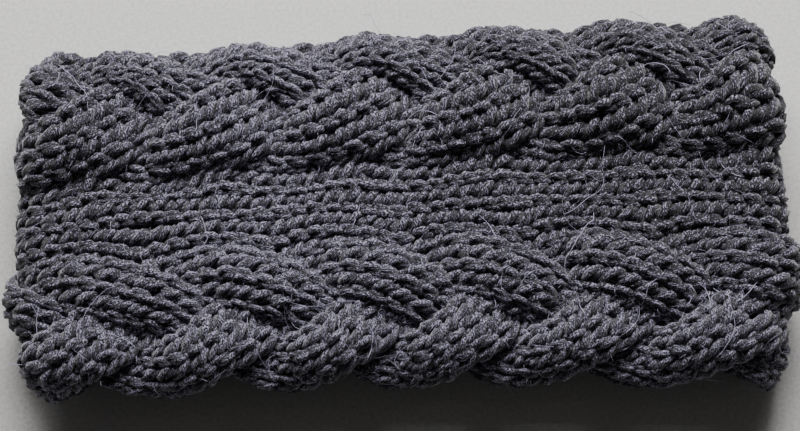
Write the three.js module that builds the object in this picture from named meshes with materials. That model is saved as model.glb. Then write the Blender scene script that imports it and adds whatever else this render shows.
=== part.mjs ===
// A chunky knitted headband, laid flat and doubled. Two three-strand plaits run all the way round it,
// one along each edge, and a plain knit panel joins them in the middle. Every plait strand is a closed
// ring of knitting that goes over and under its neighbours, as a cable does.
// Millimetres. X runs along the flat band, Y across it and Z up. The origin lies under the middle of
// the band, on the surface that the band rests on.
import * as THREE from "three";
import { ParametricGeometry } from "three/addons/geometries/ParametricGeometry.js";

const TURN = 2 * Math.PI;

// The band: one loop of cloth, measured along the middle of its thickness.
const ROUND = 480; // length of the loop, the wearer's head less the stretch
const LAYERS_APART = 20.6; // from the middle of the lower layer to the middle of the upper one
const SAG = 1; // how far the upper layer sinks between the two folds
const FLATTENED = 1.5; // how much of the lower layer's bulge the surface presses flat
const WIDENING = 0.045; // the band is this much wider at its right fold, and narrower at its left
const BOW = 2.7; // how much nearer the viewer its folds lie than its middle
const DRAWN_IN = 0.055; // the plaits are tighter than the panel, so the band is shorter along its edges
const SKEW = 0.018; // how far its far edge lies to the right of its near edge, for its width
const EDGE = 55; // from the middle of the band to its edge
const OVERHANG = 5; // how much nearer the viewer the upper layer lies than the lower one

// The plaits: what repeats, and how the repeats sit.
const REPEATS = 12; // crossings at the outer edge, round the loop
const STRANDS = 3;
const DRIFT_WAVES = 2; // hand knitting is uneven: the repeats drift along the band and back
const DRIFT_START = -10;
const PLAITS = [
  { name: "far_plait", side: 1, middle: 35, firstArch: 12.3, drift: -1.2 },
  { name: "near_plait", side: -1, middle: 35, firstArch: 22, drift: 4.2 },
];

// One strand: a flat bundle of three columns of stitches.
const SWING = 13.2; // how far a strand goes to either side of the middle of its plait
const FLATTER_ARCH = 0.4; // blunts the strand's bend at the outer edge and sharpens it at the inner one
const LIFT = 3.7; // how far it rises over the others and dips under them
const LEAN = 3.2; // how far its two edges tip to pass its neighbours
const HALF_WIDTH = { mean: 9.2, inwards: 1, crossing: 1.2 }; // wider at the inner edge, and midway
const HALF_THICKNESS = 2.5;
const PANEL_GAP = 0.35; // between the panel's edge and the strands that wave along it

// How finely the surfaces are cut.
const STATIONS = 96; // sections round the loop, eight for each repeat
const SIDES = 8; // corners of a section

const REPEAT = ROUND / REPEATS;
const WAVE = REPEAT * STRANDS; // a strand is back where it began after three repeats
const FOLD_RADIUS = LAYERS_APART / 2;
const STRAIGHT = (ROUND - TURN * FOLD_RADIUS) / 2;
const HALF_LENGTH = STRAIGHT / 2 + FOLD_RADIUS;

// Where a point of the cloth lies: `along` the loop from the left end of the upper layer, `across` the
// band, and `out` from the middle of the cloth towards the outside of the loop.
function place(along, across, out, target) {
  const half = STRAIGHT + Math.PI * FOLD_RADIUS;
  const onUpper = along < half;
  const local = onUpper ? along : along - half;
  const heading = onUpper ? 1 : -1;
  let x = heading * (Math.min(local, STRAIGHT) - STRAIGHT / 2);
  let z = heading * (FOLD_RADIUS + out);
  if (local > STRAIGHT) {
    const angle = (local - STRAIGHT) / FOLD_RADIUS;
    x += heading * (FOLD_RADIUS + out) * Math.sin(angle);
    z = heading * (FOLD_RADIUS + out) * Math.cos(angle);
  }
  if (z > 0 && Math.abs(x) < STRAIGHT / 2) z -= SAG * Math.cos((Math.PI * x) / STRAIGHT) ** 2;
  let y = across * (1 + (WIDENING * x) / HALF_LENGTH) - BOW * (x / HALF_LENGTH) ** 2;
  y -= (OVERHANG * z) / LAYERS_APART;
  x *= 1 - DRAWN_IN * (across / EDGE) ** 2;
  return target.set(x + SKEW * across, y, Math.max(0, z + FOLD_RADIUS + REACH - FLATTENED));
}

// A strand's phase: 0 where it arches along the band's outer edge, half a turn at the inner edge.
function phaseAt(along, plait, strand) {
  const drift = plait.drift * Math.sin((TURN * DRIFT_WAVES * (along - DRIFT_START)) / ROUND);
  return TURN * ((along - plait.firstArch - drift) / WAVE + strand / STRANDS);
}

const outwardOf = (phase) => SWING * Math.cos(phase) - FLATTER_ARCH * Math.cos(2 * phase);
const liftOf = (phase) => LIFT * Math.sin(2 * phase);
const leanOf = (phase) => -LEAN * Math.sin(3 * phase);
const halfWidthOf = (phase) =>
  HALF_WIDTH.mean - HALF_WIDTH.inwards * Math.cos(phase) - HALF_WIDTH.crossing * Math.cos(2 * phase);

// A corner of a flat oval section, one unit wide and thick to each side.
const corner = (turn) => [Math.cos(TURN * turn), Math.sin(TURN * turn)];

const outOf = (phase, [wide, thick]) =>
  liftOf(phase) + leanOf(phase) * wide + HALF_THICKNESS * thick;

// How far a strand reaches from the middle of the cloth, at its highest corner.
const REACH = Math.max(
  ...Array.from({ length: STATIONS * SIDES }, (_, i) =>
    outOf((TURN * i) / STATIONS, corner(Math.floor(i / STATIONS) / SIDES)),
  ),
);

// The surface of one strand: turn 0 to 1 goes round its section, and lap 0 to 1 round the band.
function strandSurface(plait, strand) {
  return (turn, lap, target) => {
    const along = (lap % 1) * ROUND;
    const phase = phaseAt(along, plait, strand);
    const point = corner(turn % 1);
    const across = plait.middle + outwardOf(phase) + halfWidthOf(phase) * point[0];
    place(along, plait.side * across, outOf(phase, point), target);
  };
}

// How near the middle of the band a plait's strands come.
function innerEdge(along, plait) {
  const edges = Array.from({ length: STRANDS }, (_, strand) => {
    const phase = phaseAt(along, plait, strand);
    return plait.middle + outwardOf(phase) - halfWidthOf(phase);
  });
  return Math.min(...edges);
}

// The panel fills what the two plaits leave, so its edges wave along them.
function panelSurface(turn, lap, target) {
  const along = (lap % 1) * ROUND;
  const [wide, thick] = corner(turn % 1);
  const plait = PLAITS.find(({ side }) => side * wide > 0) ?? PLAITS[0];
  const across = wide * (innerEdge(along, plait) - PANEL_GAP);
  place(along, across, HALF_THICKNESS * thick, target);
}

const yarn = new THREE.MeshStandardMaterial({ color: 0x2b2c31, roughness: 0.95, metalness: 0 });

// Walking round the section the other way turns a surface inside out, so `reversed` says which way.
function ring(name, surface, reversed) {
  const walked = (turn, lap, target) => surface(reversed ? 1 - turn : turn, lap, target);
  const mesh = new THREE.Mesh(new ParametricGeometry(walked, SIDES, STATIONS), yarn);
  mesh.name = name;
  return mesh;
}

const headband = new THREE.Group();
headband.add(ring("centre_panel", panelSurface, false));
for (const plait of PLAITS) {
  for (let strand = 0; strand < STRANDS; strand++) {
    const name = `${plait.name}_strand_${strand + 1}`;
    headband.add(ring(name, strandSurface(plait, strand), plait.side < 0));
  }
}

// The origin goes under the middle of the whole band.
const bounds = new THREE.Box3().setFromObject(headband);
const middle = bounds.getCenter(new THREE.Vector3());
for (const mesh of headband.children) mesh.geometry.translate(-middle.x, -middle.y, 0);

export default headband;
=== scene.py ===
# %% [markdown]
# # A braided headband, knitted loop by loop
#
# The real thing is a wide headband in thick charcoal yarn. It lies flat, so it shows two layers with
# a fold at each end. Along both edges runs a plait of three knitted strands, and plain columns of
# knitting fill the middle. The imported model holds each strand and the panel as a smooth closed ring.
# Here every ring is replaced by the loops of yarn that it is really made of.

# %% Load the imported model
import math

import bpy
import numpy as np
from mathutils import Matrix, Vector


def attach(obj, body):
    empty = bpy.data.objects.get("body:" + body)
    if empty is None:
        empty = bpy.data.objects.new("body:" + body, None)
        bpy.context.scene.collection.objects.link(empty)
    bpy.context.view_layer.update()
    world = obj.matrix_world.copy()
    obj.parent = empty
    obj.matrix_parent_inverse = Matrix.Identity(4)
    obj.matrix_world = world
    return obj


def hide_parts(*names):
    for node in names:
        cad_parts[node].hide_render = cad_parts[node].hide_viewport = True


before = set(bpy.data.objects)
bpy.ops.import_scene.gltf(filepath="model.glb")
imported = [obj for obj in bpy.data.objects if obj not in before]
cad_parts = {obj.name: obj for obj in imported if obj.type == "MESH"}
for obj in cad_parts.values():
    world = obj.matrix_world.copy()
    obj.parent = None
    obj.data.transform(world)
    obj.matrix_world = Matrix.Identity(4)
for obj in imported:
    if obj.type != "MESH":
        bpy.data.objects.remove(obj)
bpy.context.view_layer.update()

print("nodes:", sorted(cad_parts))

# %% [markdown]
# ## Where the cloth lies
#
# The band is one loop of cloth, laid flat. It could be modelled as a flat strip that a Curve modifier
# bends, but thousands of loops of yarn have to sit exactly on it. So one function says where any point
# of the cloth is, from the way along the loop, the way across the band, and the height above the
# middle of the cloth. Everything else is built flat in those three directions and bent by it.
#
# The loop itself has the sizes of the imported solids: two straight runs, and a half circle at each end.

# %% The loop of cloth
MM = 0.001
TURN = 2 * math.pi
ROUND = 480 * MM  # once round the loop, along the middle of its thickness
LAYERS_APART = 20.6 * MM  # from the middle of the lower layer to the middle of the upper one
SAG = 1 * MM  # how far the upper layer sinks between the two folds
FOLD_RADIUS = LAYERS_APART / 2
STRAIGHT = (ROUND - TURN * FOLD_RADIUS) / 2
HALF_LENGTH = STRAIGHT / 2 + FOLD_RADIUS


def on_the_loop(along, out):
    """The loop from its near side. Along starts at the left end of the upper layer."""
    half = STRAIGHT + math.pi * FOLD_RADIUS
    along = np.mod(along, ROUND)
    on_upper = along < half
    local = np.where(on_upper, along, along - half)
    heading = np.where(on_upper, 1.0, -1.0)
    angle = np.maximum(local - STRAIGHT, 0) / FOLD_RADIUS
    x = heading * (np.minimum(local, STRAIGHT) - STRAIGHT / 2 + (FOLD_RADIUS + out) * np.sin(angle))
    z = heading * (FOLD_RADIUS + out) * np.cos(angle)
    sagging = (z > 0) & (np.abs(x) < STRAIGHT / 2)
    return x, z - np.where(sagging, SAG * np.cos(math.pi * x / STRAIGHT) ** 2, 0)


print("each layer is", round(2 * HALF_LENGTH / MM, 1), "mm long with its folds")

# %% [markdown]
# ## Soft edges
#
# Knitting is soft, and the pull of the plaits rolls the upper layer's outer edges down. Only the looks
# need this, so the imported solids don't have it. A Simple Deform modifier would bend both layers alike,
# while a formula can leave the lower layer flat on the table.

# %% The rolled outer edges
ROLL_FROM = 38 * MM  # from the middle of the band to where the upper layer begins to turn down
ROLL_RADIUS = 42 * MM
EDGE = 55 * MM  # from the middle of the band to its edge


def roll_edges(across, out, z):
    roll = np.maximum(np.abs(across) - ROLL_FROM, 0) / ROLL_RADIUS
    rolled = np.clip(0.5 + z / LAYERS_APART, 0, 1) ** 2
    pulled = ROLL_RADIUS * (np.sin(roll) - roll) + out * np.sin(roll)
    z = z - rolled * (ROLL_RADIUS + out) * (1 - np.cos(roll))
    return across + rolled * pulled * np.sign(across), z


_, heights = roll_edges(np.array([0.0, EDGE]), 0, np.full(2, FOLD_RADIUS))
print("the upper layer drops by", round((heights[0] - heights[1]) / MM, 1), "mm at its edge")

# %% [markdown]
# ## The outline seen from above
#
# A band that was laid down by hand is no rectangle. It widens a little to the right, its ends bow
# towards the viewer, and its far edge lies further right than its near one. All of that is in the
# solids too. Its two left corners also lie a few millimetres further out or in, which only the looks
# need, so that is added here. A Lattice modifier could do it by hand, but these few terms can be read.

# %% The outline from above
WIDENING = 0.045  # the share by which the band is wider at its right fold, and narrower at its left
BOW = 2.7 * MM  # how much nearer the viewer its folds lie than its middle
DRAWN_IN = 0.055  # the plaits are tighter than the panel, so the band is shorter along its edges
SKEW = 0.018  # how far its far edge lies to the right of its near edge, for its width
OVERHANG = 5 * MM  # how much nearer the viewer the upper layer lies than the lower one
FLATTENED = 1.5 * MM  # how much of the lower layer's bulge the surface presses flat
REACH = 7.43 * MM  # how far a strand's solid reaches from the middle of the cloth
FAR_CORNER, NEAR_CORNER = 4.5 * MM, 0.8 * MM  # how far the left corners lie away from the viewer
CORNER_IN = 2.6 * MM  # how far the near left corner lies to the right
LEFT_POWER = 5  # the higher, the nearer the left fold all this stays
IN_POWER, AWAY_POWER = 3, 1.5  # and the nearer the two edges
MOST_ACROSS = 1.2  # loops that stand past the edge go in no further than this share of it


def place(along, across, out):
    """Where a point of the cloth lies in the shared frame."""
    x, flat_z = on_the_loop(along, out)
    across, z = roll_edges(across, out, flat_z)
    y = across * (1 + WIDENING * x / HALF_LENGTH) - BOW * (x / HALF_LENGTH) ** 2
    y = y - OVERHANG * flat_z / LAYERS_APART
    at_left = np.clip(-x / HALF_LENGTH, 0, 1) ** LEFT_POWER
    x = x * (1 - DRAWN_IN * (across / EDGE) ** 2) + SKEW * across
    x = x + at_left * CORNER_IN * np.clip(-across / EDGE, 0, MOST_ACROSS) ** IN_POWER
    y = y + at_left * np.where(across > 0, FAR_CORNER, NEAR_CORNER) * np.abs(across / EDGE) ** AWAY_POWER
    return np.stack([x, y, z + FOLD_RADIUS + REACH - FLATTENED], axis=-1)


edge = place(np.linspace(0, ROUND, 200), np.full(200, EDGE), 0)
print("its far edge is", round(np.ptp(edge[:, 0]) / MM, 1), "mm long")

# %% [markdown]
# ## How the strands travel
#
# A three-strand plait is three copies of one wave, each a third of a wave behind the last. A strand
# swings from the outer edge of the band to the inner one and back. Each time it has turned at an edge
# it lies over its neighbour, and then it dips under the next one on its way to the other edge. Three
# curves pulled through each other by hand would never come out alike, so one angle, the phase, gives
# all of this. It is 0 where the strand arches along the outer edge, and half a turn at the inner edge.

# %% The wave of a strand
REPEATS = 12  # crossings at the outer edge, round the loop
STRANDS = 3
WAVE = ROUND / REPEATS * STRANDS
DRIFT_WAVES = 2  # hand knitting is uneven: the repeats drift along the band and back
DRIFT_START = -10 * MM
SWING = 13.2 * MM  # how far a strand goes to either side of the middle of its plait
FLATTER_ARCH = 0.4 * MM  # blunts its bend at the outer edge and sharpens it at the inner one
PLAITS = {
    "far_plait": {"side": 1, "first_arch": 12.3 * MM, "drift": -1.2 * MM},
    "near_plait": {"side": -1, "first_arch": 22 * MM, "drift": 4.2 * MM},
}


def phase_at(along, plait, strand):
    drift = plait["drift"] * np.sin(TURN * DRIFT_WAVES * (along - DRIFT_START) / ROUND)
    return TURN * ((along - plait["first_arch"] - drift) / WAVE + strand / STRANDS)


def outward(phase):
    return SWING * np.cos(phase) - FLATTER_ARCH * np.cos(2 * phase)


print("one strand repeats every", round(WAVE / MM), "mm")

# %% How wide a strand is, and where the panel ends
HALF_WIDTH = 9.2 * MM
WIDER_INWARDS, WIDER_MIDWAY = 1 * MM, 1.2 * MM  # wider at the inner edge, and midway
PLAIT_MIDDLE = 35 * MM  # from the middle of the band to the middle of a plait


def half_width(phase):
    return HALF_WIDTH - WIDER_INWARDS * np.cos(phase) - WIDER_MIDWAY * np.cos(2 * phase)


def inner_edge(along, plait):
    """How near the middle of the band a plait's strands come."""
    phases = [phase_at(along, plait, strand) for strand in range(STRANDS)]
    return PLAIT_MIDDLE + np.min([outward(phase) - half_width(phase) for phase in phases], axis=0)


edge = inner_edge(np.linspace(0, ROUND, 200), PLAITS["far_plait"])
print("the plaits leave the panel", round(edge.min() / MM, 1), "to", round(edge.max() / MM, 1), "mm a side")

# %% [markdown]
# ## The sheet under the stitches
#
# Each piece first gets a bare sheet: a function of the way along and the way sideways, from -1 at the
# inner edge to 1 at the outer one. It is never a mesh, and only says where the loops go. A plain grid
# with a Displace modifier could give such a sheet, but the stitches have to turn with a strand as it
# slants, so sideways is square to the strand's own direction.
#
# The two plaits are the same knitting, but hand work and the way they lie make them look unlike. The
# table says how, for each plait. Most entries name a place on the wave, which `near_to` finds:
#
# - `early`: how many degrees sooner the strand rises and dips, at each quarter of the wave
# - `lag`: how many degrees later it travels outwards
# - `tucked`: how much of its inner half hides under the next strand where it arches
# - `fanned` and `fan_at`: how far its outer columns spread, and where
# - `rounded`: how far the outer edge of the arch turns down
# - `flat`: how much less its edges tip where it lies on top near the inner edge
# - `tilt`: how far its outer edge is raised there
# - `tip`: how far its outer edge stands up as it dips on the way in
# - `bridge`: how much less it dips on the way out, which closes a gap that light would come through

# %% What sets the two plaits apart
QUARTERS = (0, 90, 180, 270)
SHAPES = {
    "far_plait": {
        "early": (28, 28, 24, -6),
        "lag": 20,
        "tucked": 0.48,
        "fanned": 4.6 * MM,
        "fan_at": 252,
        "rounded": 3.0 * MM,
        "flat": 0.0,
        "tilt": 0.8 * MM,
        "tip": 0.6 * MM,
        "bridge": 1.6 * MM,
    },
    "near_plait": {
        "early": (-11, -11, 8, 0),
        "lag": 11,
        "tucked": 0.15,
        "fanned": -3.4 * MM,
        "fan_at": 265,
        "rounded": 0.8 * MM,
        "flat": 0.7,
        "tilt": -1.6 * MM,
        "tip": 2.2 * MM,
        "bridge": 0.6 * MM,
    },
}


def near_to(phase, centre):
    """How near a phase is to a place on the wave: 1 there, and 0 from a quarter turn away."""
    return np.maximum(np.cos(phase - centre), 0)


print("values for each plait:", len(SHAPES["far_plait"]))

# %% Where a column lies in its strand
LAG_AT = math.radians(275)
TUCKED_AT = 0.35  # just after the arch
EDGES_CLOSER = 0.14  # the outer columns stand a little closer together than the middle one
PINCHED = 0.22  # how much narrower the outer half is where neighbours squeeze it
PINCH_PEAK = 0.385  # the greatest value of a cosine times the square of its sine
FAN_POWER = 3


def swung(phase, shape):
    """How far outwards a strand is, with its way out a little late."""
    return outward(phase - math.radians(shape["lag"]) * near_to(phase, LAG_AT) ** 2)


def column_offset(phase, half, sideways, shape):
    """How far a column lies from the middle of its strand."""
    bow = (sideways - EDGES_CLOSER * sideways**3) / (1 - EDGES_CLOSER)
    tucked = 1 - shape["tucked"] * near_to(phase, TUCKED_AT) ** 2
    pinched = 1 - PINCHED * near_to(phase, 0) * np.sin(phase) ** 2 / PINCH_PEAK
    fanned = shape["fanned"] * near_to(phase, math.radians(shape["fan_at"])) ** FAN_POWER
    return half * bow * np.where(bow < 0, tucked, pinched) + fanned * (0.5 + 0.5 * bow) ** 2


for name, shape in SHAPES.items():
    print(name, "is out at the arch by", round(float(swung(0.0, shape)) / MM, 1), "mm")

# %% How high a point of a strand lies
LIFT = 3.9 * MM  # how far a strand rises above the middle of the cloth
UNDER = 0.45  # it dips by this share of that
LEAN = 2.1 * MM  # how far its two edges tip to pass its neighbours
LONGER_TOP = 1.5  # the higher, the longer a strand stays on top before it goes down
CROWN = 1.3 * MM  # how much fuller it is where it lies on top
CURL, CURL_UNDER = 3.4 * MM, 0.8 * MM  # how far its edges curl down, on top and underneath
CURL_POWER = 2.4
ROUNDED_AT, FLAT_AT, TILT_AT = 0.2, math.radians(215), math.radians(225)
TIP_AT, BRIDGE_AT = math.radians(120), math.radians(297)
TIP_POWER, BRIDGE_POWER = 4, 6


def strand_height(phase, share, sideways, shape):
    """Height over the middle of the cloth. The share is -1 and 1 at the edges of the plain wave."""
    early = np.radians(np.interp(np.degrees(phase), QUARTERS, shape["early"], period=360))
    lift = np.tanh(LONGER_TOP * np.sin(2 * phase + early)) / math.tanh(LONGER_TOP)
    on_top = 0.5 + 0.5 * lift
    curl = (CURL_UNDER + (CURL - CURL_UNDER) * on_top) * np.abs(sideways) ** CURL_POWER
    curl = curl + shape["rounded"] * near_to(phase, ROUNDED_AT) ** 2 * np.maximum(sideways, 0) ** 2
    lean = LEAN * (1 - shape["flat"] * near_to(phase, FLAT_AT) ** 2) * np.sin(3 * phase) * share
    height = LIFT * np.where(lift < 0, UNDER * lift, lift) - lean + CROWN * on_top - curl
    height = height + shape["tilt"] * near_to(phase, TILT_AT) * sideways
    height = height + shape["tip"] * near_to(phase, TIP_AT) ** TIP_POWER * np.maximum(share, 0)
    return height + shape["bridge"] * near_to(phase, BRIDGE_AT) ** BRIDGE_POWER


phases = np.linspace(0, TURN, 73)
for name, shape in SHAPES.items():
    heights = strand_height(phases, 0, 0, shape) / MM
    print(name, "goes from", round(heights.min(), 1), "to", round(heights.max(), 1), "mm")

# %% The sheet of a strand
STEP = 0.05 * MM  # a small step ahead and back, which finds the slope
EXTRA_WIDTH = 0.7 * MM  # strands are a little wider than their solids, so that they close up
MOST_SHARE = 1.25  # columns past the edge of the plain wave tip no further than this


def strand_sheet(plait, shape, strand):
    def sheet(along, sideways):
        phase = phase_at(along, plait, strand)
        ahead, behind = (swung(phase_at(along + d, plait, strand), shape) for d in (STEP, -STEP))
        slant = np.arctan((ahead - behind) / (2 * STEP))
        half = half_width(phase) * np.sqrt(np.cos(slant)) + EXTRA_WIDTH
        offset = column_offset(phase, half, sideways, shape)
        where = along - offset * np.sin(slant)
        beside = swung(phase, shape) + offset * np.cos(slant)
        local = phase_at(where, plait, strand)
        share = np.clip((beside - swung(local, shape)) / half_width(local), -MOST_SHARE, MOST_SHARE)
        height = strand_height(local, share, sideways, shape)
        return place(where, plait["side"] * (PLAIT_MIDDLE + beside), height)

    return sheet


highest = strand_sheet(PLAITS["far_plait"], SHAPES["far_plait"], 0)(np.linspace(0, ROUND, 500), 0.0)
print("the middle column of one strand rises to", round(highest[:, 2].max() / MM, 1), "mm")

# %% [markdown]
# ## The panel's sheet
#
# The plain knitting in the middle is as wide as the plaits leave it, so its edges wave along them.
# Ending it exactly at the strands would show a slit. Its edges go on under them instead and dip a
# little, as the real knitting does where it turns into a cable.

# %% The sheet of the panel
PANEL_TUCKED = 1.2 * MM
PANEL_DIPS = 1.2 * MM
DIP_POWER = 4


def panel_sheet(along, sideways):
    far, near = (inner_edge(along, plait) + PANEL_TUCKED for plait in PLAITS.values())
    across = np.where(sideways > 0, far, near) * sideways
    return place(along, across, -PANEL_DIPS * np.abs(sideways) ** DIP_POWER)


crosswise = panel_sheet(np.full(2, ROUND / 4), np.array([-1.0, 1.0]))
print("the panel is", round(float(np.ptp(crosswise[:, 1])) / MM, 1), "mm wide in the middle of the band")

# %% [markdown]
# ## One row of loops
#
# A knitted row is one yarn that runs across the fabric and makes a loop in every column. Seen from the
# front each loop shows two legs, which open like a V, and its head and feet hide behind its neighbours.
# A curve drawn by hand and copied by an Array modifier would make every loop the same. Three sine
# waves draw the same path, and a little seeded unevenness in each loop keeps it hand made.

# %% Seeded unevenness
ROWS = 92
STEPS = 20  # points of yarn in a loop
random = np.random.default_rng(7)


def uneven(shape, size):
    return random.normal(0, size, shape)


def loop_to_loop(values, count):
    """Values given once for each loop, run smoothly over all the points of a row."""
    stops = np.linspace(0, values.shape[1] - 1, count)
    return np.array([np.interp(stops, np.arange(values.shape[1]), row) for row in values])


print("example of values between loops:", loop_to_loop(np.array([[0.0, 1.0, 0.0]]), 5)[0].tolist())

# %% The path of the yarn in a row
ROW_PITCH = ROUND / ROWS
LOOP_HEIGHT = 1.72 * ROW_PITCH  # a loop reaches into the rows before and after it
LEG_SPREAD = 0.25  # how far the legs open, in columns
DEPTH = 1.5 * MM  # the legs lie this far above the sheet, and the heads and feet as far below it
UNEVEN_SPREAD, UNEVEN_LOOP = 0.10, 0.05  # as shares
UNEVEN_PLACE, UNEVEN_DEPTH = 0.30 * MM, 0.16 * MM
WANDER = 0.24  # how far a whole column strays sideways, in columns
WANDER_AT_EDGES = 0.3  # the share of that at the two edges
EASINGS = 3  # how often the straying is averaged from row to row


def row_paths(columns):
    """For every row: the way along, the way sideways and the height of each point of its yarn."""
    count = columns * STEPS + 1
    loops = (ROWS, columns + 1)
    turn = np.linspace(0, TURN * columns, count)[None, :]
    spread = LEG_SPREAD * (1 + loop_to_loop(uneven(loops, UNEVEN_SPREAD), count))
    forward = 0.5 * LOOP_HEIGHT * np.cos(turn) * (1 + loop_to_loop(uneven(loops, UNEVEN_LOOP), count))
    along = np.arange(ROWS)[:, None] * ROW_PITCH + forward
    along = along + loop_to_loop(uneven(loops, UNEVEN_PLACE), count)
    height = -DEPTH * np.cos(2 * turn) + loop_to_loop(uneven(loops, UNEVEN_DEPTH), count)
    stray_column = uneven(loops, 1)
    for _ in range(EASINGS):
        stray_column = (np.roll(stray_column, 1, 0) + stray_column + np.roll(stray_column, -1, 0)) / 3
    stray_column[:, [0, -1]] *= WANDER_AT_EDGES
    column = turn / TURN + spread * np.sin(2 * turn) + WANDER * loop_to_loop(stray_column, count)
    return along, column / columns * 2 - 1, height, turn


print("a row every", round(ROW_PITCH / MM, 2), "mm, and a loop", round(LOOP_HEIGHT / MM, 2), "mm high")

# %% [markdown]
# ## From path to three-ply yarn
#
# The yarn is three plies twisted together, so its section has three round lobes with sharp valleys
# between them. Each section is turned a little further than the last, and the lobes wind along the
# yarn like the strands of a rope. A curve with a bevel would give a smooth tube and leave the plies to
# bump in the material. Here the mesh edges follow the plies, so nine points to a section are enough.

# %% The section of the yarn
PLIES = 3
VALLEY, SHOULDER = 0.56, 1.08  # distances from the middle of the yarn, in its radius
LOBE = [(0.0, VALLEY), (0.235, SHOULDER), (0.765, SHOULDER)]
SECTION = [((ply + where) / PLIES, reach) for ply in range(PLIES) for where, reach in LOBE]


def unit(vectors):
    return vectors / np.linalg.norm(vectors, axis=-1, keepdims=True)


def across_and_over(paths, ups):
    """Two directions square to each path and to each other."""
    tangents = unit(np.gradient(paths, axis=1))
    across = unit(np.cross(tangents, ups))
    return across, np.cross(across, tangents)


def from_zero(steps):
    """The sum of all steps so far, with a zero before the first one."""
    return np.concatenate([np.zeros((len(steps), 1)), np.cumsum(steps, axis=1)], axis=1)


def circle(angles, across, over):
    """Directions at the given angles round each point of a path."""
    return np.cos(angles)[..., None] * over[..., None, :] + np.sin(angles)[..., None] * across[..., None, :]


print("points to a section:", len(SECTION))

# %% Twisted yarn along a path
TWIST_PITCH = 5.4 * MM  # the yarn's length for a full turn of its plies
TWIST_DRIFT = 0.012  # how unevenly it is spun, in turns for each step
MOST_TWIST = 0.122  # more turn than this in one step would fold the mesh over
LUMPS = 0.065  # how uneven its surface is, as a share of its radius
PATTERN_SHIFT = 90 * MM  # rows start at different places in the pattern of fibres


def yarn_tubes(paths, ups, radius):
    """Sections of twisted yarn along every path, and the length run so far."""
    across, over = across_and_over(paths, ups)
    steps = np.linalg.norm(np.diff(paths, axis=1), axis=-1)
    length = from_zero(steps)
    start = random.uniform(0, 1, (len(paths), 1))
    drift = np.cumsum(random.normal(0, TWIST_DRIFT, length.shape), axis=1)
    turn = start + drift - from_zero(np.minimum(steps / TWIST_PITCH, MOST_TWIST))
    angles = TURN * (turn[..., None] + np.array([where for where, _ in SECTION]))
    reach = radius[..., None] * np.array([reach for _, reach in SECTION])
    reach = reach * (1 + random.normal(0, LUMPS, reach.shape))
    sections = paths[..., None, :] + reach[..., None] * circle(angles, across, over)
    return sections, length + start * PATTERN_SHIFT


print("the plies turn once in", round(TWIST_PITCH / MM, 1), "mm of yarn")

# %% [markdown]
# ## Lying on the table
#
# The band's own weight presses its lowest loops flat. A cloth or soft body simulation would find that
# by itself, but it is far too slow for this many loops. Squeezing the lowest few millimetres towards
# the floor gives the same look, and no point ends up below the floor.

# %% Pressed flat, and which way is up
REST_HEIGHT = 3.2 * MM  # everything below this is squeezed
SINK = 0.45 * MM
LITTLE = 0.01  # the same, sideways


def lay_on_floor(points):
    low = points[..., 2] < REST_HEIGHT
    pressed = REST_HEIGHT * np.exp((points[..., 2] - REST_HEIGHT) / REST_HEIGHT) - SINK
    eased = np.where(low, np.maximum(pressed, 0), points[..., 2] - SINK)
    return np.concatenate([points[..., :2], eased[..., None]], axis=-1)


def sheet_normals(sheet, along, sideways, side):
    """The sheet's outward direction. The near plait is a mirror image, so its side is -1."""
    ahead = sheet(along + STEP, sideways) - sheet(along - STEP, sideways)
    beside = sheet(along, sideways + LITTLE) - sheet(along, sideways - LITTLE)
    return side * unit(np.cross(ahead, beside))


lowest = lay_on_floor(np.array([[0, 0, -2 * MM], [0, 0, 2 * MM]]))[:, 2] / MM
print("heights of -2 and 2 mm become", lowest.round(2).tolist())

# %% [markdown]
# ## Making the mesh
#
# The sections are joined by quads, and both ends of every yarn are closed. Extruding and turning each
# section with bpy.ops would give the same mesh, but it takes a call for each of tens of thousands of
# sections, so the points and faces are handed over all at once. A UV map goes with them: its first
# direction runs along the yarn and its second goes round the plies, so fibres drawn by the material
# follow the twist.

# %% Faces and UV corners
UV_PER_METRE = 100


def tube_faces(rows, steps, sides):
    """Quads between neighbouring sections, and a face at both ends of each tube."""
    index = np.arange(rows * steps * sides).reshape(rows, steps, sides)
    here, ahead = index[:, :-1], index[:, 1:]
    quads = np.stack([here, np.roll(here, -1, 2), np.roll(ahead, -1, 2), ahead], axis=-1).reshape(-1, 4)
    caps = [row[0][::-1].tolist() for row in index] + [row[-1].tolist() for row in index]
    return quads.tolist() + caps


def tube_uv(rows, steps, sides, length):
    """A place in the UV map for each corner of those faces. The ends' faces all lie at its origin."""
    side_uv = np.arange(sides + 1) / sides
    u = np.broadcast_to((length * UV_PER_METRE)[..., None], (rows, steps, sides))
    v_here = np.broadcast_to(side_uv[:-1], (rows, steps - 1, sides))
    v_next = np.broadcast_to(side_uv[1:], (rows, steps - 1, sides))
    corners = [(u[:, :-1], v_here), (u[:, :-1], v_next), (u[:, 1:], v_next), (u[:, 1:], v_here)]
    uv = np.stack([np.stack(corner, axis=-1) for corner in corners], axis=3).reshape(-1, 2)
    return np.concatenate([uv, np.zeros((2 * rows * sides, 2))])


print("one tube of three sections has", len(tube_faces(1, 3, len(SECTION))), "faces")

# %% Sections to a mesh
def tube_mesh(name, sections, length, material, painted_light=None):
    rows, steps, sides, _ = sections.shape
    mesh = bpy.data.meshes.new(name)
    mesh.from_pydata(sections.reshape(-1, 3).tolist(), [], tube_faces(rows, steps, sides))
    layer = mesh.uv_layers.new(name="yarn")
    layer.data.foreach_set("uv", tube_uv(rows, steps, sides, length).astype(np.float32).ravel())
    # The attribute is painted light and shade for the material: deep yarn is darker.
    if painted_light is not None:
        shade = mesh.attributes.new("painted_light", "FLOAT", "POINT")
        shade.data.foreach_set("value", painted_light.astype(np.float32).ravel())
    mesh.shade_smooth()
    mesh.materials.append(material)
    piece = bpy.data.objects.new(name, mesh)
    bpy.context.scene.collection.objects.link(piece)
    return piece


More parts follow.
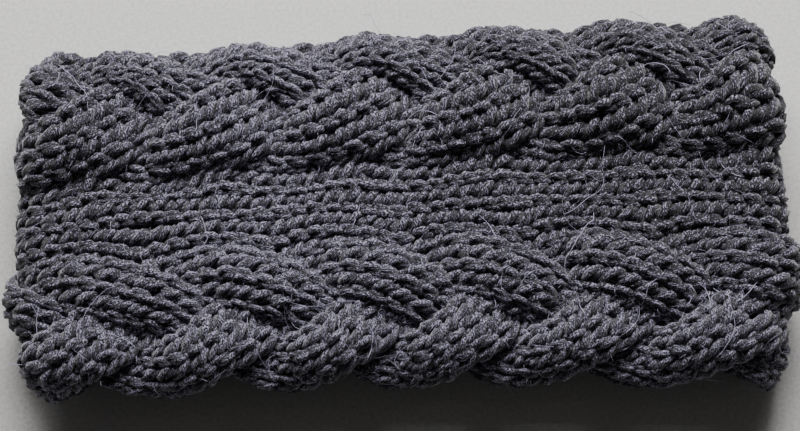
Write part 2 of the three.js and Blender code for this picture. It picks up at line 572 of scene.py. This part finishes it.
print("a strand takes", 2 * ROWS * (3 * STEPS * len(SECTION) + len(SECTION) - 2), "triangles")

# %% [markdown]
# ## The wool
#
# Up close the yarn is charcoal, but not one colour. The material paints a highlight on the crest of every
# ply and paints shade in the valleys between the plies, nearly black, as short hairs fill them and let
# little light in; it also paints shade on yarn that lies deep in the fabric. A photo of wool could be
# wrapped round it, but the UV map already says where the plies are and the mesh says how deep in the fabric
# a point lies, so the material needs no picture. Noise stretched along the plies draws the fibres
# themselves.

# %% Helpers for nodes
def new_group(name, inputs, outputs):
    group = bpy.data.node_groups.new(name, "ShaderNodeTree")
    for label, kind in inputs:
        group.interface.new_socket(label, in_out="INPUT", socket_type=kind)
    for label, kind in outputs:
        group.interface.new_socket(label, in_out="OUTPUT", socket_type=kind)
    return group, group.nodes.new("NodeGroupInput"), group.nodes.new("NodeGroupOutput")


def calculate(tree, operation, *values):
    """A Math node. Each value is a number or the socket of another node."""
    node = tree.nodes.new("ShaderNodeMath")
    node.operation = operation
    for socket, value in zip(node.inputs, values):
        if isinstance(value, (int, float)):
            socket.default_value = value
        else:
            tree.links.new(value, socket)
    return node.outputs["Value"]


def stretched_noise(tree, uv, scale, stretch, detail):
    mapping = tree.nodes.new("ShaderNodeMapping")
    mapping.inputs["Scale"].default_value = stretch
    noise = tree.nodes.new("ShaderNodeTexNoise")
    noise.inputs["Detail"].default_value = detail
    tree.links.new(uv, mapping.inputs["Vector"])
    tree.links.new(mapping.outputs["Vector"], noise.inputs["Vector"])
    tree.links.new(scale, noise.inputs["Scale"])
    return noise.outputs["Fac"]


print("node groups so far:", len(bpy.data.node_groups))

# %% A node group: fibres along the plies, and painted light and shade across each ply
STREAK_STRETCH, STREAK_DETAIL = (1, 4, 1), 3
FLECK_STRETCH, FLECK_DETAIL = (1, 1.5, 1), 2


def spun_fibres():
    """Streaks along the plies, flecks a few fibres wide, and painted light and shade across each ply, all
    from 0 to 1.
    """
    group, start, end = new_group(
        "spun_fibres",
        [("UV", "NodeSocketVector"), ("Streaks", "NodeSocketFloat"), ("Flecks", "NodeSocketFloat")],
        [("Streak", "NodeSocketFloat"), ("Fleck", "NodeSocketFloat"), ("PaintedPlyShading", "NodeSocketFloat")],
    )
    uv, streaks, flecks = (start.outputs[label] for label in ("UV", "Streaks", "Flecks"))
    streak = stretched_noise(group, uv, streaks, STREAK_STRETCH, STREAK_DETAIL)
    fleck = stretched_noise(group, uv, flecks, FLECK_STRETCH, FLECK_DETAIL)
    split = group.nodes.new("ShaderNodeSeparateXYZ")
    group.links.new(uv, split.inputs["Vector"])
    # Painted light and shade: brightest on the middle of each ply, darkest in the valleys between plies.
    ply = calculate(group, "FRACT", calculate(group, "MULTIPLY", split.outputs["Y"], PLIES))
    off_crest = calculate(group, "ABSOLUTE", calculate(group, "SUBTRACT", ply, 0.5))
    painted_ply_shading = calculate(group, "SUBTRACT", 1.0, calculate(group, "MULTIPLY", off_crest, 2.0))
    group.links.new(streak, end.inputs["Streak"])
    group.links.new(fleck, end.inputs["Fleck"])
    group.links.new(painted_ply_shading, end.inputs["PaintedPlyShading"])
    return group


FIBRES = spun_fibres()
print("fibre group:", [item.name for item in FIBRES.interface.items_tree])

# %% [markdown]
# ## From fibres to colour
#
# The wool's tone is a sum. Every yarn starts from a base, and streaks, flecks, the painted light and shade
# across each ply and the painted shade of deep yarn each add to it with their own weight. A colour ramp
# then turns the tone into a grey, from nearly black to pale. The fibres that stand off the yarn catch more
# light, so they get a paler wool from the same function as a painted highlight; the loose hairs share it as
# their own pale colour.

# %% Steps of the tone
TONES = [(0.0, 0.003), (0.28, 0.014), (0.48, 0.060), (0.70, 0.16), (1.0, 0.40)]
TINT = (1.035, 0.975, 1.38)  # the grey is a little blue, against the warm light


def tone_sum(tree, fibres, base, weights):
    """A base tone, and what each part adds to it. Half is taken off for noise, whose mean that is."""
    # This attribute carries painted shade: yarn deep in the fabric is darker.
    depth = tree.nodes.new("ShaderNodeAttribute")
    depth.attribute_name = "painted_light"
    parts = {label: fibres.outputs[label] for label in ("Streak", "Fleck", "PaintedPlyShading")}
    parts["Exposure"] = depth.outputs["Fac"]
    tone = calculate(tree, "ADD", base - 0.5 * (weights["Streak"] + weights["Fleck"]), 0.0)
    for label, weight in weights.items():
        tone = calculate(tree, "MULTIPLY_ADD", parts[label], weight, tone)
    return tone


def tone_ramp(tree, tone, brightness):
    ramp = tree.nodes.new("ShaderNodeValToRGB")
    while len(ramp.color_ramp.elements) < len(TONES):
        ramp.color_ramp.elements.new(0.5)
    for element, (position, value) in zip(ramp.color_ramp.elements, TONES):
        element.position = position
        element.color = (*(brightness * value * tint for tint in TINT), 1)
    tree.links.new(tone, ramp.inputs["Fac"])
    return ramp.outputs["Color"]


print("steps of the tone:", len(TONES))

# %% The two wools
FIBRE_BUMP, FIBRE_HEIGHT = 0.8, 0.3 * MM
WOOL_FINISH = {
    "Roughness": 0.85,
    "Specular IOR Level": 0.25,
    "Sheen Weight": 0.30,
    "Sheen Roughness": 0.5,
}


def wool(name, brightness, base, streaks, flecks, weights):
    material = bpy.data.materials.new(name)
    material.use_nodes = True
    tree = material.node_tree
    shader = tree.nodes["Principled BSDF"]
    uv = tree.nodes.new("ShaderNodeUVMap")
    uv.uv_map = "yarn"
    fibres = tree.nodes.new("ShaderNodeGroup")
    fibres.node_tree = FIBRES
    fibres.inputs["Streaks"].default_value = streaks
    fibres.inputs["Flecks"].default_value = flecks
    tree.links.new(uv.outputs["UV"], fibres.inputs["UV"])
    colour = tone_ramp(tree, tone_sum(tree, fibres, base, weights), brightness)
    bump = tree.nodes.new("ShaderNodeBump")
    bump.inputs["Strength"].default_value = FIBRE_BUMP
    bump.inputs["Distance"].default_value = FIBRE_HEIGHT
    tree.links.new(colour, shader.inputs["Base Color"])
    tree.links.new(fibres.outputs["Streak"], bump.inputs["Height"])
    tree.links.new(bump.outputs["Normal"], shader.inputs["Normal"])
    for label, value in WOOL_FINISH.items():
        shader.inputs[label].default_value = value
    return material


# Two of these weights paint light and shade: a highlight on each ply's crest with shade in its valleys, and
# shade on deep yarn.
charcoal = wool(
    "charcoal_wool",
    brightness=0.72,
    base=-0.02,
    streaks=11.0,
    flecks=25.0,
    weights={"Streak": 1.9, "Fleck": 4.8, "PaintedPlyShading": 0.52, "Exposure": 0.14},
)
# Painted highlight: the fuzz gets this paler wool for the light its fibres catch, and the loose hairs are
# pale of their own.
pale_hair_and_fuzz_highlight = wool(
    "pale_hair_and_fuzz_highlight_wool",
    brightness=1.35,
    base=1.0,
    streaks=1.0,
    flecks=1.0,
    weights={"Streak": 0.6, "Fleck": 0.6, "PaintedPlyShading": 0.0, "Exposure": 0.0},
)
print("materials:", charcoal.name, pale_hair_and_fuzz_highlight.name)

# %% [markdown]
# ## Painted shade towards the ends
#
# The far half of the real band looks darker at its right end, and a little at its left end. That darkness
# is painted shade in the yarn's colour here, and it looks the same from every side. A second material
# would leave a hard border between the two, so the painted shade is taken off the painted light value
# that every point of the mesh already carries.

# %% How much painted shade darkens the ends
END_SHADE_FROM, END_SHADE_FULLY = -65 * MM, 5 * MM  # across the band: none at its near edge
DARKER_RIGHT, RIGHT_FROM, RIGHT_FULLY = 1.8, -60 * MM, 90 * MM
DARKER_LEFT, LEFT_FROM, LEFT_FULLY = 1.3, 30 * MM, 120 * MM


def eased_step(value, start, end):
    share = np.clip((value - start) / (end - start), 0, 1)
    return share * share * (3 - 2 * share)


# Painted shade: the far half of the band is darker towards its right and left ends.
def painted_end_shade(x, y):
    far = eased_step(y, END_SHADE_FROM, END_SHADE_FULLY)
    right = DARKER_RIGHT * eased_step(x, RIGHT_FROM, RIGHT_FULLY)
    left = DARKER_LEFT * eased_step(-x, LEFT_FROM, LEFT_FULLY)
    return far * (right + left)


print("dye at the left, middle and right:", painted_end_shade(np.array([-0.12, 0, 0.12]), 0.05).round(2).tolist())

# %% [markdown]
# ## Knitting every piece
#
# Each strand is three columns wide and the panel four. The columns are the same stitches everywhere,
# so one function knits them all: it lays the rows on the piece's sheet, twists yarn along them and
# hands the result to the mesh. Real yarn fills the room that its neighbours leave it, so it is a
# little thicker where the legs of a loop lie further apart, and thinner where a loop turns back.

# %% How thick the yarn is
THINNEST, FULLNESS = 0.70 * MM, 0.355
UNEVEN_YARN = 0.03
LEG_RADIUS, LEG_FULLER = 0.93, 0.10
GAP_STEP = 0.1


def leg_gap(sheet, along, sideways, columns):
    """How far one leg of a loop lies from the next, across the columns."""
    wide = np.linalg.norm(sheet(along, sideways + GAP_STEP) - sheet(along, sideways - GAP_STEP), axis=-1)
    return wide / (2 * GAP_STEP) / columns


def yarn_radius(gap, turn):
    fullness = 1 + uneven((ROWS, 1), UNEVEN_YARN)
    return fullness * (THINNEST + FULLNESS * gap) * (LEG_RADIUS - LEG_FULLER * np.cos(2 * turn))


print("legs are", round((LEG_RADIUS + LEG_FULLER) / (LEG_RADIUS - LEG_FULLER), 2), "times as thick as heads")

# %% Every new piece belongs to the band
def own(piece, *nodes):
    """The piece moves with the band's one body, and the imported solids that it replaces are hidden."""
    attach(piece, "root")
    if nodes:
        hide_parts(*nodes)
    return sum(len(face.vertices) - 2 for face in piece.data.polygons)


print("nodes to replace:", len(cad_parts))

# %% Knit the pieces
# Painted shade: yarn this far below the sheet is darkest, and yarn this far above it has none.
PAINTED_DARK_BELOW, PAINTED_LIT_ABOVE = -1.2 * MM, 3.0 * MM
STRAND_COLUMNS, PANEL_COLUMNS = 3, 4
STRAND_DEPTH, PANEL_DEPTH = 1.0, 1.1  # the panel's loops stand a little deeper
yarns = []


def knit(name, sheet, side, columns, depth):
    along, sideways, height, turn = row_paths(columns)
    normals = sheet_normals(sheet, along, sideways, side)
    bare = sheet(along, sideways)
    paths = bare + depth * height[..., None] * normals
    radius = yarn_radius(leg_gap(sheet, along, sideways, columns), turn)
    sections, length = yarn_tubes(paths, normals, radius)
    # Painted shade: the deeper a point of the yarn lies under the sheet's top, the darker its colour.
    above = np.sum((sections - bare[..., None, :]) * normals[..., None, :], axis=-1)
    painted_light = np.clip((above - PAINTED_DARK_BELOW) / (PAINTED_LIT_ABOVE - PAINTED_DARK_BELOW), 0, 1)
    # The painted shade towards the ends is taken off as well.
    painted_light = painted_light - painted_end_shade(sections[..., 0], sections[..., 1])
    piece = tube_mesh(name + "_knit", lay_on_floor(sections), length, charcoal, painted_light)
    yarns.append((lay_on_floor(paths), normals, radius))
    middling = round(float(np.median(radius)) / MM, 2)
    loop = round(float(length[0, STEPS] - length[0, 0]) / MM, 1)
    print(piece.name, own(piece, name), "triangles, yarn radius", middling, "mm,", loop, "mm to a loop")


knit("centre_panel", panel_sheet, 1, PANEL_COLUMNS, PANEL_DEPTH)
for plait_name, plait in PLAITS.items():
    for strand in range(STRANDS):
        sheet = strand_sheet(plait, SHAPES[plait_name], strand)
        knit(f"{plait_name}_strand_{strand + 1}", sheet, plait["side"], STRAND_COLUMNS, STRAND_DEPTH)

# %% [markdown]
# ## Fuzz
#
# Wool is never clean. Thousands of short fibres stand off the yarn and soften every edge, and some
# longer ones curl above it. A hair system could grow them, but it would not reach the exported model,
# so each fibre is a thin closed tube with three sides, and all of a kind are one joined mesh.

# %% Thin tubes for fibres
FIBRE_SIDES = 3
THINNER_END = 0.6  # how much thinner a fibre is at its tip
ASKEW = (0.31, 0.17, 0.93)  # a direction that hardly any fibre follows
FIBRE_PATTERN = 5 * MM  # how much of the wool's pattern a fibre runs through


def thin_tubes(paths, radius):
    """Three-sided tubes along many short paths, thinner towards their tips."""
    steps = paths.shape[1]
    taper = 1 - THINNER_END * np.linspace(0, 1, steps) ** 2
    across, over = across_and_over(paths, np.broadcast_to(ASKEW, paths.shape))
    ring = circle(TURN * np.arange(FIBRE_SIDES) / FIBRE_SIDES, across, over)
    reach = (radius[:, None] * taper)[..., None, None]
    length = np.linspace(0, 1, steps) * FIBRE_PATTERN + random.uniform(0, 1, (len(paths), 1))
    return paths[..., None, :] + reach * ring, length


print("sides of a fibre:", FIBRE_SIDES)

# %% Where fibres stand, and how they bend
MOST_LEAN = 1.5  # radians to either side of straight up from the fabric
ROOTED = 0.92  # a fibre starts just under the surface, in the yarn's radius
UPWARDS, FORWARDS, ANYWHERE = 0.55, 0.8, 0.55  # what a fibre's direction is made of
BENT, BENT_DOWN = 0.5, 0.25
LOWEST_FIBRE = 0.25 * MM


def fibres_on(yarn, number, points, shortest, longest):
    """Bent lines that start on the surface of one piece's yarn."""
    paths, normals, radius = yarn
    row = random.integers(0, paths.shape[0], number)
    step = random.integers(1, paths.shape[1] - 1, number)
    up = normals[row, step]
    forward = unit(paths[row, step + 1] - paths[row, step - 1])
    angle = random.uniform(-MOST_LEAN, MOST_LEAN, (number, 1))
    out = np.cos(angle) * up + np.sin(angle) * np.cross(up, forward)
    root = paths[row, step] + out * (ROOTED * radius[row, step])[:, None]
    swing = random.normal(0, 1, (number, 3))
    either_way = random.choice([-1, 1], (number, 1))
    lead = unit(UPWARDS * out + FORWARDS * forward * either_way + ANYWHERE * swing)
    bend = BENT * unit(random.normal(0, 1, (number, 3))) - BENT_DOWN * out
    reach = random.uniform(shortest, longest, (number, 1))
    share = np.linspace(0, 1, points)[None, :, None]
    return root[:, None] + reach[:, None] * (lead[:, None] * share + bend[:, None] * share**2)


def fuzz_paths(count, points, shortest, longest):
    """All pieces have as many rows, so each gets about as many fibres."""
    sizes = np.array([normals.shape[0] for _, normals, _ in yarns], dtype=float)
    picks = random.choice(len(yarns), count, p=sizes / sizes.sum())
    numbers = [int(np.sum(picks == piece)) for piece in range(len(yarns))]
    lines = [fibres_on(yarn, number, points, shortest, longest) for yarn, number in zip(yarns, numbers)]
    lines = np.concatenate(lines)
    lines[..., 2] = np.maximum(lines[..., 2], LOWEST_FIBRE)
    return lines


print("pieces to grow fuzz on:", len(yarns))

# %% Short and curled fibres
THIN_FIBRE, THICK_FIBRE = 0.05, 0.08  # radius in millimetres
FUZZ = {
    "yarn_fuzz": {"count": 22000, "points": 2, "shortest": 0.9 * MM, "longest": 2.6 * MM},
    "curled_fuzz": {"count": 1500, "points": 5, "shortest": 3 * MM, "longest": 8 * MM},
}

for name, growth in FUZZ.items():
    fibres = fuzz_paths(**growth)
    sections, length = thin_tubes(fibres, random.uniform(THIN_FIBRE, THICK_FIBRE, len(fibres)) * MM)
    # The fuzz's paler colour is a painted highlight.
    fuzz = tube_mesh(name, sections, length, pale_hair_and_fuzz_highlight)
    print(name, own(fuzz), "triangles")

# %% [markdown]
# ## Loose hairs
#
# A few long pale hairs have fallen on the band. They follow its hills and valleys but are too stiff to
# dip into every stitch. Letting them fall in a simulation would be slow, so the height of the band is
# read on a grid of small squares, and each hair lies on the highest squares around it.

# %% How high the band is
CELL = 1.2 * MM
SQUARES = (240, 140)


def square_under(points):
    """Which small square of the floor lies under each point."""
    column = np.clip((points[..., 0] / CELL).astype(int) + SQUARES[0] // 2, 0, SQUARES[0] - 1)
    line = np.clip((points[..., 1] / CELL).astype(int) + SQUARES[1] // 2, 0, SQUARES[1] - 1)
    return column, line


def top_heights():
    points = np.concatenate([paths.reshape(-1, 3) for paths, _, _ in yarns])
    tops = np.zeros(SQUARES)
    np.maximum.at(tops, square_under(points), points[:, 2])
    return tops


print("highest square:", round(float(top_heights().max()) / MM, 1), "mm")

# %% The path of a hair
HAIR_POINTS = 14
HAIR_STARTS, HAIR_LIMITS = np.array((0.112, 0.056)), np.array((0.121, 0.062))
CURLY, CURVED = 0.16, 0.14  # how much a hair changes its direction at random, and steadily
HAIR_STEP = (0.5, 1.9)  # millimetres from point to point
HAIR_ABOVE = 1.9 * MM  # from the middle of the yarn to a hair that lies on it
MOST_HANG = 5 * MM  # a hair over an edge hangs no lower than this below its top
NEIGHBOURS = 2


def with_neighbours(values, combine):
    """For each point of a hair, its own and its neighbours' values made into one."""
    padded = np.pad(values, ((0, 0), (NEIGHBOURS, NEIGHBOURS)), mode="edge")
    shifted = [padded[:, k : k + HAIR_POINTS] for k in range(2 * NEIGHBOURS + 1)]
    return combine(shifted, axis=0)


def hair_paths(count):
    start = random.uniform(-HAIR_STARTS, HAIR_STARTS, (count, 2))
    heading = random.uniform(0, TURN, (count, 1))
    curl = np.cumsum(random.normal(0, CURLY, (count, HAIR_POINTS)), axis=1)
    heading = heading + curl + random.normal(0, CURVED, (count, 1)) * np.arange(HAIR_POINTS)
    step = random.uniform(*HAIR_STEP, (count, 1, 1)) * MM
    flat = start[:, None] + np.cumsum(step * np.stack([np.cos(heading), np.sin(heading)], -1), axis=1)
    flat = np.clip(flat, -HAIR_LIMITS, HAIR_LIMITS)
    under = top_heights()[square_under(flat)] + HAIR_ABOVE
    smooth = with_neighbours(with_neighbours(under, np.max), np.mean)
    smooth = np.maximum(smooth, smooth.max(axis=1, keepdims=True) - MOST_HANG)
    return np.concatenate([flat, smooth[..., None]], axis=-1)


print("longest hair:", round((HAIR_POINTS - 1) * HAIR_STEP[1], 1), "mm")

# %% Long pale hairs that lie on top
HAIRS = 90
THIN_HAIR, THICK_HAIR = 0.07, 0.14  # radius in millimetres

hairs = hair_paths(HAIRS)
sections, length = thin_tubes(hairs, random.uniform(THIN_HAIR, THICK_HAIR, HAIRS) * MM)
loose = tube_mesh("loose_hairs", sections, length, pale_hair_and_fuzz_highlight)
print("loose hairs:", own(loose), "triangles")

# %% [markdown]
# ## The floor
#
# The band lies on a plain pale surface. A picture of paper could be laid on it, but a fine noise
# between two near greys is enough at this distance, and it never repeats.

# %% The floor
FLOOR_SIZE, FLOOR_ROUGHNESS = 4, 0.8
GRAIN_SCALE, GRAIN_DETAIL = 900, 3
FLOOR_SHADES = [(0.25, (0.50, 0.495, 0.49, 1)), (0.75, (0.68, 0.675, 0.67, 1))]

bpy.ops.mesh.primitive_plane_add(size=FLOOR_SIZE)
floor = bpy.context.object
floor.name = "floor"
paper = bpy.data.materials.new("pale_floor")
paper.use_nodes = True
tree = paper.node_tree
coordinates = tree.nodes.new("ShaderNodeTexCoord")
grain = tree.nodes.new("ShaderNodeTexNoise")
grain.inputs["Scale"].default_value = GRAIN_SCALE
grain.inputs["Detail"].default_value = GRAIN_DETAIL
tree.links.new(coordinates.outputs["Object"], grain.inputs["Vector"])
shades = tree.nodes.new("ShaderNodeValToRGB")
for element, (position, colour) in zip(shades.color_ramp.elements, FLOOR_SHADES):
    element.position = position
    element.color = colour
tree.links.new(grain.outputs["Fac"], shades.inputs["Fac"])
tree.links.new(shades.outputs["Color"], tree.nodes["Principled BSDF"].inputs["Base Color"])
tree.nodes["Principled BSDF"].inputs["Roughness"].default_value = FLOOR_ROUGHNESS
floor.data.materials.append(paper)
print("floor:", [round(side) for side in floor.dimensions[:2]], "m")

# %% [markdown]
# ## The light
#
# The light on the real band looks like daylight. One broad soft light comes from behind it, as from a
# window, and makes the short shadows along its near edge. A weaker one above and a faint glow from the
# room fill the shadows. A single lamp would make them hard and black.

# %% The lights
GLOW, GLOW_COLOUR = 0.055, (1.0, 0.97, 0.93, 1)


def area_light(name, place_at, size, power, colour):
    """A rectangular light that faces the origin."""
    data = bpy.data.lights.new(name, "AREA")
    data.shape = "RECTANGLE"
    data.size, data.size_y = size
    data.energy = power
    data.color = colour
    light = bpy.data.objects.new(name, data)
    light.location = place_at
    light.rotation_euler = (-Vector(place_at)).to_track_quat("-Z", "Y").to_euler()
    bpy.context.scene.collection.objects.link(light)
    return light


window = area_light("window", (0.04, 0.86, 0.70), size=(0.8, 0.5), power=25.5, colour=(1.0, 0.99, 0.98))
ceiling = area_light("ceiling", (0, 0.95, 1.05), size=(1.5, 0.7), power=9, colour=(1.0, 0.98, 0.96))
world = bpy.data.worlds.new("room")
world.use_nodes = True
world.node_tree.nodes["Background"].inputs["Color"].default_value = GLOW_COLOUR
world.node_tree.nodes["Background"].inputs["Strength"].default_value = GLOW
bpy.context.scene.world = world
print("lights:", window.name, window.data.energy, "W,", ceiling.name, ceiling.data.energy, "W")

# %% [markdown]
# ## The camera
#
# The photo looks down steeply from the near side, with a slight roll. The camera could be placed by
# eye, but the photo's own proportions give its height angle, and a long lens at this distance keeps the
# near and far edges almost the same length.

# %% The camera
ELEVATION = math.radians(72)
DISTANCE = 0.606
ROLL = math.radians(2.7)
TARGET = Vector((-0.0003, -0.0044, 0.020))
LENS_PIXELS, PICTURE_WIDTH = 2000, 800  # how far the lens is from the picture, in its pixels
SENSOR_WIDTH = 36

camera_data = bpy.data.cameras.new("camera")
camera_data.sensor_width = SENSOR_WIDTH
camera_data.lens = SENSOR_WIDTH * LENS_PIXELS / PICTURE_WIDTH
camera = bpy.data.objects.new("camera", camera_data)
back = Vector((0, -math.cos(ELEVATION), math.sin(ELEVATION)))
look = (-back).to_track_quat("-Z", "Y").to_matrix().to_4x4()
camera.matrix_world = Matrix.Translation(TARGET + DISTANCE * back) @ look @ Matrix.Rotation(-ROLL, 4, "Z")
bpy.context.scene.collection.objects.link(camera)
bpy.context.scene.camera = camera
print("lens:", camera_data.lens, "mm")
